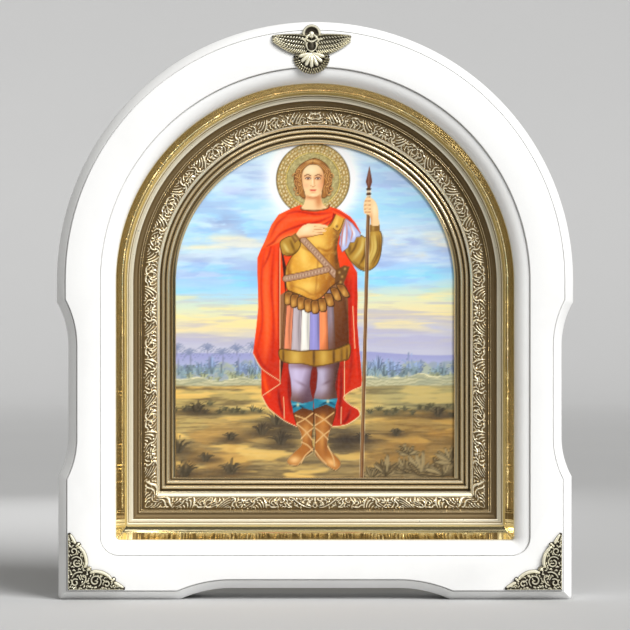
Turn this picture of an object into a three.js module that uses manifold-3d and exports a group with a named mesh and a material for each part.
// A framed icon panel: a white enamelled case frame with an arched head and a waisted outline,
// a deep gilt liner moulding with a band of leaf ornament, the arched board that carries the
// picture, and three small cast mounts on the face: a dove at the crown and two corner pieces.
// Millimetres. X runs to the right, Y runs back into the case, Z runs up.
// The origin is on the surface the feet stand on, in the middle of the width and the depth.

import * as THREE from 'three';
import { mergeVertices } from 'three/addons/utils/BufferGeometryUtils.js';
import Module from 'manifold-3d';

const wasm = await Module();
wasm.setup();

// Overall depths. Every depth below is counted back from the white face.
const CASE_DEPTH = 50;
const ORNAMENT_HEIGHT = 4;
const CLEARANCE = 0.3;
const FACE_Y = (ORNAMENT_HEIGHT - CASE_DEPTH) / 2;

// Outline of the case: arched head, waist, foot stretch and the hollow between the feet.
const CASE = {
  archCentre: 224.4,
  archRadius: 181.5,
  waistHalf: 173.4,
  waistTop: 178.2,
  waistBottom: 113.8,
  shoulderSweep: 62.6,
  footHalf: 180.4,
  footSweep: 56.7,
  footCorner: 2.8,
  hollowHalf: 58.5,
  hollowRise: 7.9,
  hollowSweep: 88.3,
};

// Moulded edges of the case: a small step, then a quarter round.
const EDGE_STEP = 1;
const OUTER_ROUND = { width: 6.4, depth: 6.6 };
const INNER_ROUND = { width: 9.2, depth: 9 };
const BACK_CHAMFER = 1.5;
const ROUND_STEPS = 3;

// The arched opening. Its spring line is shared by the case, the liner and the picture board.
const SPRING = 222.8;
const LIP = { half: 140.3, drop: 181.4, corner: 2.8, depth: 13 };
const REBATE = 3.2;

// Liner moulding, from the case inwards: half width at the sides, drop from the spring line
// to the bottom member, and depth behind the white face.
const LINER_BACK = 46;
const LINER_PROFILE = [
  { name: 'wall top', half: 139.9, drop: 181, depth: LIP.depth + CLEARANCE },
  { name: 'wall foot', half: 134.3, drop: 172.8, depth: 23 },
  { name: 'bead crest', half: 133.3, drop: 169.8, depth: 21.5 },
  { name: 'bead foot', half: 132.4, drop: 168.5, depth: 23 },
  { name: 'cove middle', half: 130.4, drop: 166, depth: 26.8 },
  { name: 'cove foot', half: 126.4, drop: 163.8, depth: 28.6 },
  { name: 'fillet foot', half: 125, drop: 162.9, depth: 28.6 },
  { name: 'fillet crest', half: 123.9, drop: 162.2, depth: 27 },
  { name: 'fillet end', half: 122.8, drop: 161.5, depth: 28.6 },
];
const BAND_OUTER = { half: 121.6, drop: 161.1, depth: 28.8 };
const BAND_INNER = { half: 112, drop: 152.6, depth: 28.8 };
const LINER_INNER_PROFILE = [
  { name: 'plain wall', half: 109.4, drop: 149, depth: 31.6 },
  { name: 'first groove', half: 108.4, drop: 147.8, depth: 33.6 },
  { name: 'first reed', half: 106.5, drop: 145.8, depth: 31.9 },
  { name: 'second groove', half: 104.6, drop: 143.8, depth: 34.6 },
  { name: 'second reed', half: 102.8, drop: 141.9, depth: 33 },
  { name: 'third groove', half: 100.9, drop: 140, depth: 35.6 },
  { name: 'sight lip', half: 100, drop: 139.3, depth: 34.9 },
  { name: 'sight edge', half: 99.1, drop: 138.6, depth: 36 },
];
const SIGHT_LIP_BACK = 37.2;

// Leaf ornament on the band: a cushion with leaning leaves that meet over each bud.
const BAND = { cushion: 2, leafHeight: 1.8, valley: -0.7, leafPitch: 6.4, lean: 3.2, rows: 4 };

// The picture board sits in the rabbet behind the sight edge.
const BOARD = { half: 104.2, drop: 143.7, front: 37.5, thickness: 4 };
const RABBET_HALF = BOARD.half + CLEARANCE;
const RABBET_DROP = BOARD.drop + CLEARANCE;

// Cast mounts. Each lies flat on the white face with its back just clear of it.
// The dove's own points are counted from the middle of its breast, the corner's from its angle.
const DOVE = { x: -2.4, z: 386, wingTip: 27.5, height: ORNAMENT_HEIGHT - CLEARANCE };
const HALO = { z: 10.6, outer: 6.6, inner: 4.4, height: 2.2, ground: 1.1 };
const BREAST = { z: 3.4, halfWidth: 3.8, halfHeight: 6.8 };
const HEAD = { z: 10.4, halfWidth: 2.3, halfHeight: 2.6, lower: 0.3 };
const LUMP_CENTRE = 0.9;
const CORNER = { leg: 40, inset: 7.3, plate: 1.3, height: 3.2, relief: 2.5, knob: 15.1 };

// Smoothness of the curves.
const ARCH_STEPS = 14;
const HEAD_STEPS = 18;
const SWEEP_STEPS = 5;
const CORNER_STEPS = 3;

const white = new THREE.MeshStandardMaterial({ color: 0xf6f6f3, roughness: 0.32, metalness: 0 });
const gilt = new THREE.MeshStandardMaterial({ color: 0xb79c66, roughness: 0.24, metalness: 0.9 });
const cast = new THREE.MeshStandardMaterial({ color: 0xa99f78, roughness: 0.34, metalness: 0.9 });
const print = new THREE.MeshStandardMaterial({ color: 0xb9a78a, roughness: 0.5, metalness: 0 });

const point = (x, z) => new THREE.Vector2(x, z);

// Points of an arc in the X, Z plane, its two ends included.
function arc(cx, cz, radius, from, to, steps) {
  const points = [];
  for (let i = 0; i <= steps; i += 1) {
    const angle = from + ((to - from) * i) / steps;
    points.push(point(cx + radius * Math.cos(angle), cz + radius * Math.sin(angle)));
  }
  return points;
}

// Mirrors a right half, which runs from the bottom middle up to the crown, into a closed
// outline that runs anticlockwise as seen from the front.
function mirrored(half) {
  const left = half.slice(1, -1).reverse().map((p) => point(-p.x, p.y));
  return [...half, ...left];
}

// The case outline moved inwards by an inset, worked out from its straight runs and arcs.
function caseOutline(inset) {
  const c = CASE;
  const hollowCentre = c.hollowRise - c.hollowSweep;
  const hollowRadius = c.hollowSweep + inset;
  const hollowEnd = Math.asin((inset - hollowCentre) / hollowRadius);
  const side = c.footHalf - inset;
  const corner = Math.max(c.footCorner - inset, 0.05);
  const footCentre = c.waistHalf + c.footSweep;
  const footRadius = c.footSweep + inset;
  const footStart = Math.acos((side - footCentre) / footRadius);
  const shoulderCentre = c.waistHalf + c.shoulderSweep;
  const shoulderRadius = c.shoulderSweep + inset;
  const head = c.archRadius - inset;
  const shoulderEnd = Math.acos((head - shoulderCentre) / shoulderRadius);
  return mirrored([
    point(0, c.hollowRise + inset),
    ...arc(c.hollowHalf, hollowCentre, hollowRadius, Math.PI / 2, hollowEnd, SWEEP_STEPS),
    ...arc(side - corner, inset + corner, corner, -Math.PI / 2, 0, CORNER_STEPS),
    ...arc(footCentre, c.waistBottom, footRadius, -footStart, -Math.PI, SWEEP_STEPS),
    ...arc(shoulderCentre, c.waistTop, shoulderRadius, Math.PI, shoulderEnd, SWEEP_STEPS),
    ...arc(0, c.archCentre, head, 0, Math.PI / 2, HEAD_STEPS),
  ]);
}

// An arched outline with straight sides and a level bottom.
function archOutline(half, drop, corner) {
  const bottom = SPRING - drop;
  const turn = corner > 0
    ? arc(half - corner, bottom + corner, corner, -Math.PI / 2, 0, CORNER_STEPS)
    : [point(half, bottom)];
  return mirrored([point(0, bottom), ...turn, ...arc(0, SPRING, half, 0, Math.PI / 2, ARCH_STEPS)]);
}

// A ring is an outline at one depth. Each point keeps its share of the way round, so rings
// with different numbers of points can be joined.
function ring(outline, depth) {
  const closed = [...outline, outline[0]];
  let length = 0;
  const along = closed.map((p, i) => {
    length += i === 0 ? 0 : p.distanceTo(closed[i - 1]);
    return length;
  });
  return {
    points: closed.map((p) => new THREE.Vector3(p.x, FACE_Y + depth, p.y)),
    share: along.map((a) => a / length),
  };
}

// The triangles between two rings.
function strip(a, b) {
  const triangles = [];
  let i = 0;
  let j = 0;
  while (i < a.points.length - 1 || j < b.points.length - 1) {
    const moreA = i < a.points.length - 1;
    const moreB = j < b.points.length - 1;
    const middleA = moreA ? a.share[i] + a.share[i + 1] : Infinity;
    const middleB = moreB ? b.share[j] + b.share[j + 1] : Infinity;
    if (middleA <= middleB) {
      triangles.push([a.points[i], a.points[i + 1], b.points[j]]);
      i += 1;
    } else {
      triangles.push([a.points[i], b.points[j + 1], b.points[j]]);
      j += 1;
    }
  }
  return triangles;
}

// A flat face between an outline and a hole in it, facing the front or the back.
function flatFace(outline, hole, depth, toFront) {
  const all = [...outline, ...hole].map((p) => new THREE.Vector3(p.x, FACE_Y + depth, p.y));
  const faces = THREE.ShapeUtils.triangulateShape([...outline], hole.length > 0 ? [[...hole]] : []);
  return faces.map(([a, b, c]) => {
    const side = new THREE.Vector3().crossVectors(
      all[b].clone().sub(all[a]),
      all[c].clone().sub(all[a]),
    ).y;
    const facesFront = side < 0;
    return facesFront === toFront ? [all[a], all[b], all[c]] : [all[a], all[c], all[b]];
  });
}

// One closed geometry from loose triangles, with shared corners merged.
function closedGeometry(triangles) {
  const loose = new THREE.BufferGeometry();
  loose.setFromPoints(triangles.flat());
  const merged = mergeVertices(loose, 1e-3);
  const kept = [];
  for (let i = 0; i < merged.index.count; i += 3) {
    const [a, b, c] = [0, 1, 2].map((k) => merged.index.getX(i + k));
    if (a !== b && b !== c && c !== a) {
      kept.push(a, b, c);
    }
  }
  merged.setIndex(kept);
  merged.computeVertexNormals();
  return merged;
}

// The quarter round of a moulded edge, as inset and depth pairs from its foot to its step.
function quarterRound(size) {
  const pairs = [];
  for (let i = 0; i <= ROUND_STEPS; i += 1) {
    const angle = (Math.PI / 2) * (i / ROUND_STEPS);
    pairs.push({
      inset: size.width * (1 - Math.cos(angle)),
      depth: EDGE_STEP + size.depth * (1 - Math.sin(angle)),
    });
  }
  return pairs;
}

function caseFrame() {
  const outer = [
    ring(caseOutline(BACK_CHAMFER), CASE_DEPTH),
    ring(caseOutline(0), CASE_DEPTH - BACK_CHAMFER),
    ...quarterRound(OUTER_ROUND).map((p) => ring(caseOutline(p.inset), p.depth)),
    ring(caseOutline(OUTER_ROUND.width), 0),
  ];
  const opening = (grow) => archOutline(LIP.half + grow, LIP.drop + grow, LIP.corner + grow);
  const inner = [
    ring(opening(INNER_ROUND.width), 0),
    ...quarterRound(INNER_ROUND).reverse().map((p) => ring(opening(p.inset), p.depth)),
    ring(opening(0), LIP.depth),
    ring(opening(REBATE), LIP.depth),
    ring(opening(REBATE), CASE_DEPTH),
  ];
  const triangles = [
    ...flatFace(caseOutline(OUTER_ROUND.width), opening(INNER_ROUND.width), 0, true),
    ...flatFace(caseOutline(BACK_CHAMFER), opening(REBATE), CASE_DEPTH, false),
  ];
  for (const rings of [outer, inner]) {
    for (let i = 1; i < rings.length; i += 1) {
      triangles.push(...strip(rings[i - 1], rings[i]));
    }
  }
  return closedGeometry(triangles);
}

// A point of an arched outline at a distance along its right half, from the bottom middle.
function alongArch(half, drop, distance) {
  const quarter = (Math.PI / 2) * half;
  if (distance <= half) {
    return point(distance, SPRING - drop);
  }
  if (distance <= half + drop) {
    return point(half, SPRING - drop + distance - half);
  }
  const angle = (Math.PI / 2) * ((distance - half - drop) / quarter);
  return point(half * Math.cos(angle), SPRING + half * Math.sin(angle));
}

// The rings of the ornament band. The leaves' ridges and valleys alternate along the band and
// lean one way and then the other, and each straight or arched stretch holds whole leaves.
function bandRings() {
  const middle = {
    half: (BAND_OUTER.half + BAND_INNER.half) / 2,
    drop: (BAND_OUTER.drop + BAND_INNER.drop) / 2,
  };
  const arch = (Math.PI / 2) * middle.half;
  const pairs = [middle.half, middle.drop, arch].map(
    (length) => Math.round(length / (2 * BAND.leafPitch)),
  );
  const rings = [];
  for (let row = 0; row <= BAND.rows; row += 1) {
    const across = row / BAND.rows;
    const half = THREE.MathUtils.lerp(BAND_OUTER.half, BAND_INNER.half, across);
    const drop = THREE.MathUtils.lerp(BAND_OUTER.drop, BAND_INNER.drop, across);
    const depth = THREE.MathUtils.lerp(BAND_OUTER.depth, BAND_INNER.depth, across);
    const bulge = Math.sin(Math.PI * across);
    const lengths = [half, drop, (Math.PI / 2) * half];
    const places = [];
    let start = 0;
    lengths.forEach((length, k) => {
      const leaves = pairs[k] * 2;
      for (let leaf = 0; leaf < leaves; leaf += 1) {
        const leans = leaf % 2 === 0 ? 1 : -1;
        const foot = start + (length * leaf) / leaves;
        const ridge = foot + length / (2 * leaves) + leans * BAND.lean * (across - 0.5);
        places.push({ distance: foot, rise: BAND.valley });
        places.push({ distance: ridge, rise: BAND.leafHeight });
      }
      start += length;
    });
    places.push({ distance: start, rise: BAND.valley });
    const right = places.map((p) => {
      const flat = alongArch(half, drop, p.distance);
      const lift = bulge * (BAND.cushion + p.rise);
      return new THREE.Vector3(flat.x, FACE_Y + depth - lift, flat.y);
    });
    const left = right.slice(1, -1).reverse().map((p) => new THREE.Vector3(-p.x, p.y, p.z));
    const points = [...right, ...left, right[0]];
    const total = start * 2;
    const shares = places.map((p) => p.distance / total);
    const leftShares = shares.slice(1, -1).reverse().map((s) => 1 - s);
    rings.push({ points, share: [...shares, ...leftShares, 1] });
  }
  return rings;
}

function linerFrame() {
  const outerHalf = LIP.half + REBATE - CLEARANCE;
  const outerDrop = LIP.drop + REBATE - CLEARANCE;
  const corner = (i) => (i === 0 ? LIP.corner : 0);
  const plain = (p, i) => ring(archOutline(p.half, p.drop, corner(i)), p.depth);
  const sight = LINER_INNER_PROFILE[LINER_INNER_PROFILE.length - 1];
  const rings = [
    ring(archOutline(outerHalf, outerDrop, LIP.corner + REBATE), LINER_BACK),
    ring(archOutline(outerHalf, outerDrop, LIP.corner + REBATE), LIP.depth + CLEARANCE),
    ...LINER_PROFILE.map(plain),
    ...bandRings(),
    ...LINER_INNER_PROFILE.map((p) => plain(p, 1)),
    ring(archOutline(sight.half, sight.drop, 0), SIGHT_LIP_BACK),
    ring(archOutline(RABBET_HALF, RABBET_DROP, 0), SIGHT_LIP_BACK),
    ring(archOutline(RABBET_HALF, RABBET_DROP, 0), LINER_BACK),
  ];
  const triangles = rings.flatMap((r, i) => strip(r, rings[(i + 1) % rings.length]));
  return closedGeometry(triangles);
}

function pictureBoard() {
  const outline = archOutline(BOARD.half, BOARD.drop, 0);
  const back = BOARD.front + BOARD.thickness;
  return closedGeometry([
    ...flatFace(outline, [], BOARD.front, true),
    ...flatFace(outline, [], back, false),
    ...strip(ring(outline, back), ring(outline, BOARD.front)),
  ]);
}

// A flat shape raised towards the front, from the back of a casting up to a height.
function raised(points, height) {
  const geometry = new THREE.ExtrudeGeometry(new THREE.Shape(points), {
    depth: height,
    bevelEnabled: false,
  });
  geometry.rotateX(Math.PI / 2);
  return geometry;
}

function solidOf(geometry) {
  const bare = geometry.clone();
  bare.deleteAttribute('normal');
  bare.deleteAttribute('uv');
  const merged = mergeVertices(bare, 1e-4);
  return new wasm.Manifold(new wasm.Mesh({
    numProp: 3,
    vertProperties: new Float32Array(merged.attributes.position.array),
    triVerts: new Uint32Array(merged.index.array),
  }));
}

function geometryOf(solid) {
  const mesh = solid.getMesh();
  const geometry = new THREE.BufferGeometry();
  geometry.setAttribute('position', new THREE.BufferAttribute(mesh.vertProperties, 3));
  geometry.setIndex(new THREE.BufferAttribute(mesh.triVerts, 1));
  geometry.computeVertexNormals();
  return geometry;
}

// Joins the parts of one casting and cuts away whatever lies behind its flat back.
function castTogether(geometries) {
  const behind = new THREE.BoxGeometry(120, 20, 120);
  behind.translate(0, 10, 0);
  const joined = geometries.map(solidOf).reduce((a, b) => a.add(b));
  return geometryOf(joined.subtract(solidOf(behind)));
}

// A pointed feather: narrow at its root, widest near its round tip.
function feather(root, angle, length, width) {
  const outline = [[0, -0.3], [0.7, -0.5], [0.92, -0.3], [1, 0], [0.92, 0.3], [0.7, 0.5], [0, 0.3]];
  const along = point(Math.cos(angle), Math.sin(angle));
  return outline.map(([l, w]) => point(
    root.x + along.x * l * length - along.y * w * width,
    root.y + along.y * l * length + along.x * w * width,
  ));
}

const degrees = THREE.MathUtils.degToRad;
const flip = (points) => points.map((p) => point(-p.x, p.y)).reverse();

// A wing is a rounded blade with a raised leading edge. Feathers fan out over it from the
// shoulder, long ones below and shorter coverts over them.
function wingParts() {
  const blade = [
    point(3, 10.4), point(14, 10.9), point(26, 10.2), point(DOVE.wingTip, 8.6), point(26.4, 5.6),
    point(22.6, 2.2), point(16.4, -1.6), point(10, -4.8), point(3, -5.4),
  ];
  const shoulder = point(2.6, 6);
  const feathers = [
    { angle: 2, length: 23.6, width: 3, height: 2 },
    { angle: -9, length: 20.4, width: 3, height: 2 },
    { angle: -22, length: 17, width: 3, height: 2 },
    { angle: -38, length: 14, width: 3, height: 2 },
    { angle: 7, length: 14.4, width: 3.4, height: 2.8 },
    { angle: -9, length: 12.4, width: 3.4, height: 2.8 },
    { angle: -28, length: 10, width: 3.4, height: 2.8 },
  ];
  const leadingEdge = [point(4, 9.6), point(14, 10), point(26.4, 9.2)];
  return [
    { points: blade, height: 1.3 },
    { points: ribbon(leadingEdge, 1.6), height: 2.5 },
    ...feathers.map((f) => ({
      points: feather(shoulder, degrees(f.angle), f.length, f.width),
      height: f.height,
    })),
  ];
}

// The tail is a fan of bright feathers over a second, lower fan.
function tailFeathers() {
  const root = point(0, 0.5);
  const feathers = [];
  for (let i = 0; i < 5; i += 1) {
    const angle = degrees(-90 + (i - 2) * 19);
    feathers.push({ points: feather(root, angle, 18, 6.8), height: 1.5 });
  }
  for (let i = 0; i < 7; i += 1) {
    const angle = degrees(-90 + (i - 3) * 21);
    feathers.push({ points: feather(root, angle, 14.2, 4.2), height: 2.7 - 0.4 * (i % 2) });
  }
  return feathers;
}

// A rounded lump on the middle line of the dove.
function roundLump(size, top) {
  const lump = new THREE.SphereGeometry(1, 8, 5);
  lump.scale(size.halfWidth, top - LUMP_CENTRE, size.halfHeight);
  lump.translate(0, -LUMP_CENTRE, size.z);
  return lump;
}

function doveMount() {
  const parts = [];
  for (const f of wingParts()) {
    parts.push(raised(f.points, f.height));
    parts.push(raised(flip(f.points), f.height));
  }
  for (const f of tailFeathers()) {
    parts.push(raised(f.points, f.height));
  }
  const halo = [
    ...arc(0, HALO.z, HALO.outer, degrees(-10), degrees(190), 9),
    ...arc(0, HALO.z, HALO.inner, degrees(190), degrees(-10), 6),
  ];
  parts.push(raised(halo, HALO.height));
  parts.push(raised(arc(0, HALO.z, HALO.inner + 0.4, 0, degrees(315), 7), HALO.ground));
  parts.push(roundLump(BREAST, DOVE.height));
  parts.push(roundLump(HEAD, DOVE.height - HEAD.lower));
  return castTogether(parts);
}

// A band of even or tapering width that follows a line of points.
function ribbon(line, width, endWidth = width) {
  const sides = [[], []];
  line.forEach((p, i) => {
    const before = line[Math.max(i - 1, 0)];
    const after = line[Math.min(i + 1, line.length - 1)];
    const along = after.clone().sub(before).normalize();
    const half = THREE.MathUtils.lerp(width, endWidth, i / (line.length - 1)) / 2;
    sides[0].push(point(p.x + along.y * half, p.y - along.x * half));
    sides[1].unshift(point(p.x - along.y * half, p.y + along.x * half));
  });
  return [...sides[0], ...sides[1]];
}

// A scroll that winds in towards its eye.
function scroll(cx, cz, radius, from, turn, steps) {
  const line = [];
  for (let i = 0; i <= steps; i += 1) {
    const share = i / steps;
    const r = radius * (1 - 0.62 * share);
    const angle = from + turn * share;
    line.push(point(cx + r * Math.cos(angle), cz + r * Math.sin(angle)));
  }
  return line;
}

// One leg of the corner piece, drawn along X. The other leg is its mirror in the diagonal.
function cornerLeg() {
  const lobe = new THREE.CatmullRomCurve3([
    new THREE.Vector3(15.6, 14.6, 0),
    new THREE.Vector3(21.5, 13.4, 0),
    new THREE.Vector3(26.5, 11.6, 0),
    new THREE.Vector3(31, 8.2, 0),
  ]).getPoints(5).map((p) => point(p.x, p.y));
  return {
    edge: [...lobe, point(33.2, 8), point(33.4, 5.9), point(38.8, 3.2), point(CORNER.leg, 1.4)],
    rib: lobe.map((p) => point(p.x - 0.5, p.y - 1.1)),
    tip: [point(33, 5.6), point(36.5, 3.6), point(38.8, 1.9)],
    leaf: [point(30, 5), point(32.8, 7.6)],
    scrolls: [
      scroll(19.5, 6.6, 4.6, degrees(-60), degrees(400), 8),
      scroll(27.6, 4.8, 2.7, degrees(200), degrees(-340), 7),
      [point(9.6, 3.4), point(12.2, 6.4), point(12.4, 10)],
    ],
  };
}

const swap = (points) => points.map((p) => point(p.y, p.x)).reverse();

// The corner piece for the lower left corner, its right angle at the origin.
function cornerMount() {
  const leg = cornerLeg();
  const plate = [point(0, 0), point(CORNER.leg, 0), ...[...leg.edge].reverse()];
  const outline = [...plate, ...[...leg.edge].map((p) => point(p.y, p.x)), point(0, CORNER.leg)];
  const parts = [raised(outline, CORNER.plate)];
  const both = (shape, height) => {
    parts.push(raised(shape, height));
    parts.push(raised(swap(shape), height));
  };
  both(ribbon(leg.rib, 2.2), CORNER.height);
  both(ribbon(leg.tip, 2.6, 1.8), CORNER.height - 0.3);
  both(ribbon(leg.leaf, 1.6, 2.2), CORNER.height - 0.5);
  leg.scrolls.forEach((line) => both(ribbon(line, 1.4, 1), CORNER.relief));
  const border = [point(1, 36), point(1, 1), point(36, 1)];
  const eye = scroll(6, 6, 2.8, degrees(45), degrees(380), 8);
  parts.push(raised(arc(CORNER.knob, CORNER.knob, 1.9, 0, degrees(300), 5), CORNER.height));
  parts.push(raised(ribbon(border, 1.2), CORNER.relief));
  parts.push(raised(ribbon(eye, 1.4, 1), CORNER.relief));
  return castTogether(parts);
}

// The same casting turned over left to right, for the lower right corner.
function mirroredGeometry(geometry) {
  const copy = geometry.clone();
  copy.scale(-1, 1, 1);
  const index = copy.index.array;
  for (let i = 0; i < index.length; i += 3) {
    [index[i], index[i + 1]] = [index[i + 1], index[i]];
  }
  copy.computeVertexNormals();
  return copy;
}

function piece(name, geometry, material, x = 0, y = 0, z = 0) {
  const mesh = new THREE.Mesh(geometry, material);
  mesh.name = name;
  mesh.position.set(x, y, z);
  return mesh;
}

const corner = cornerMount();
const cornerX = CASE.footHalf - CORNER.inset;
const mountY = FACE_Y - CLEARANCE;

const iconPanel = new THREE.Group();
iconPanel.add(
  piece('case_frame', caseFrame(), white),
  piece('gilt_liner', linerFrame(), gilt),
  piece('picture_board', pictureBoard(), print),
  piece('dove_mount', doveMount(), cast, DOVE.x, mountY, DOVE.z),
  piece('corner_mount_left', corner, cast, -cornerX, mountY, CORNER.inset),
  piece('corner_mount_right', mirroredGeometry(corner), cast, cornerX, mountY, CORNER.inset),
);

export default iconPanel;
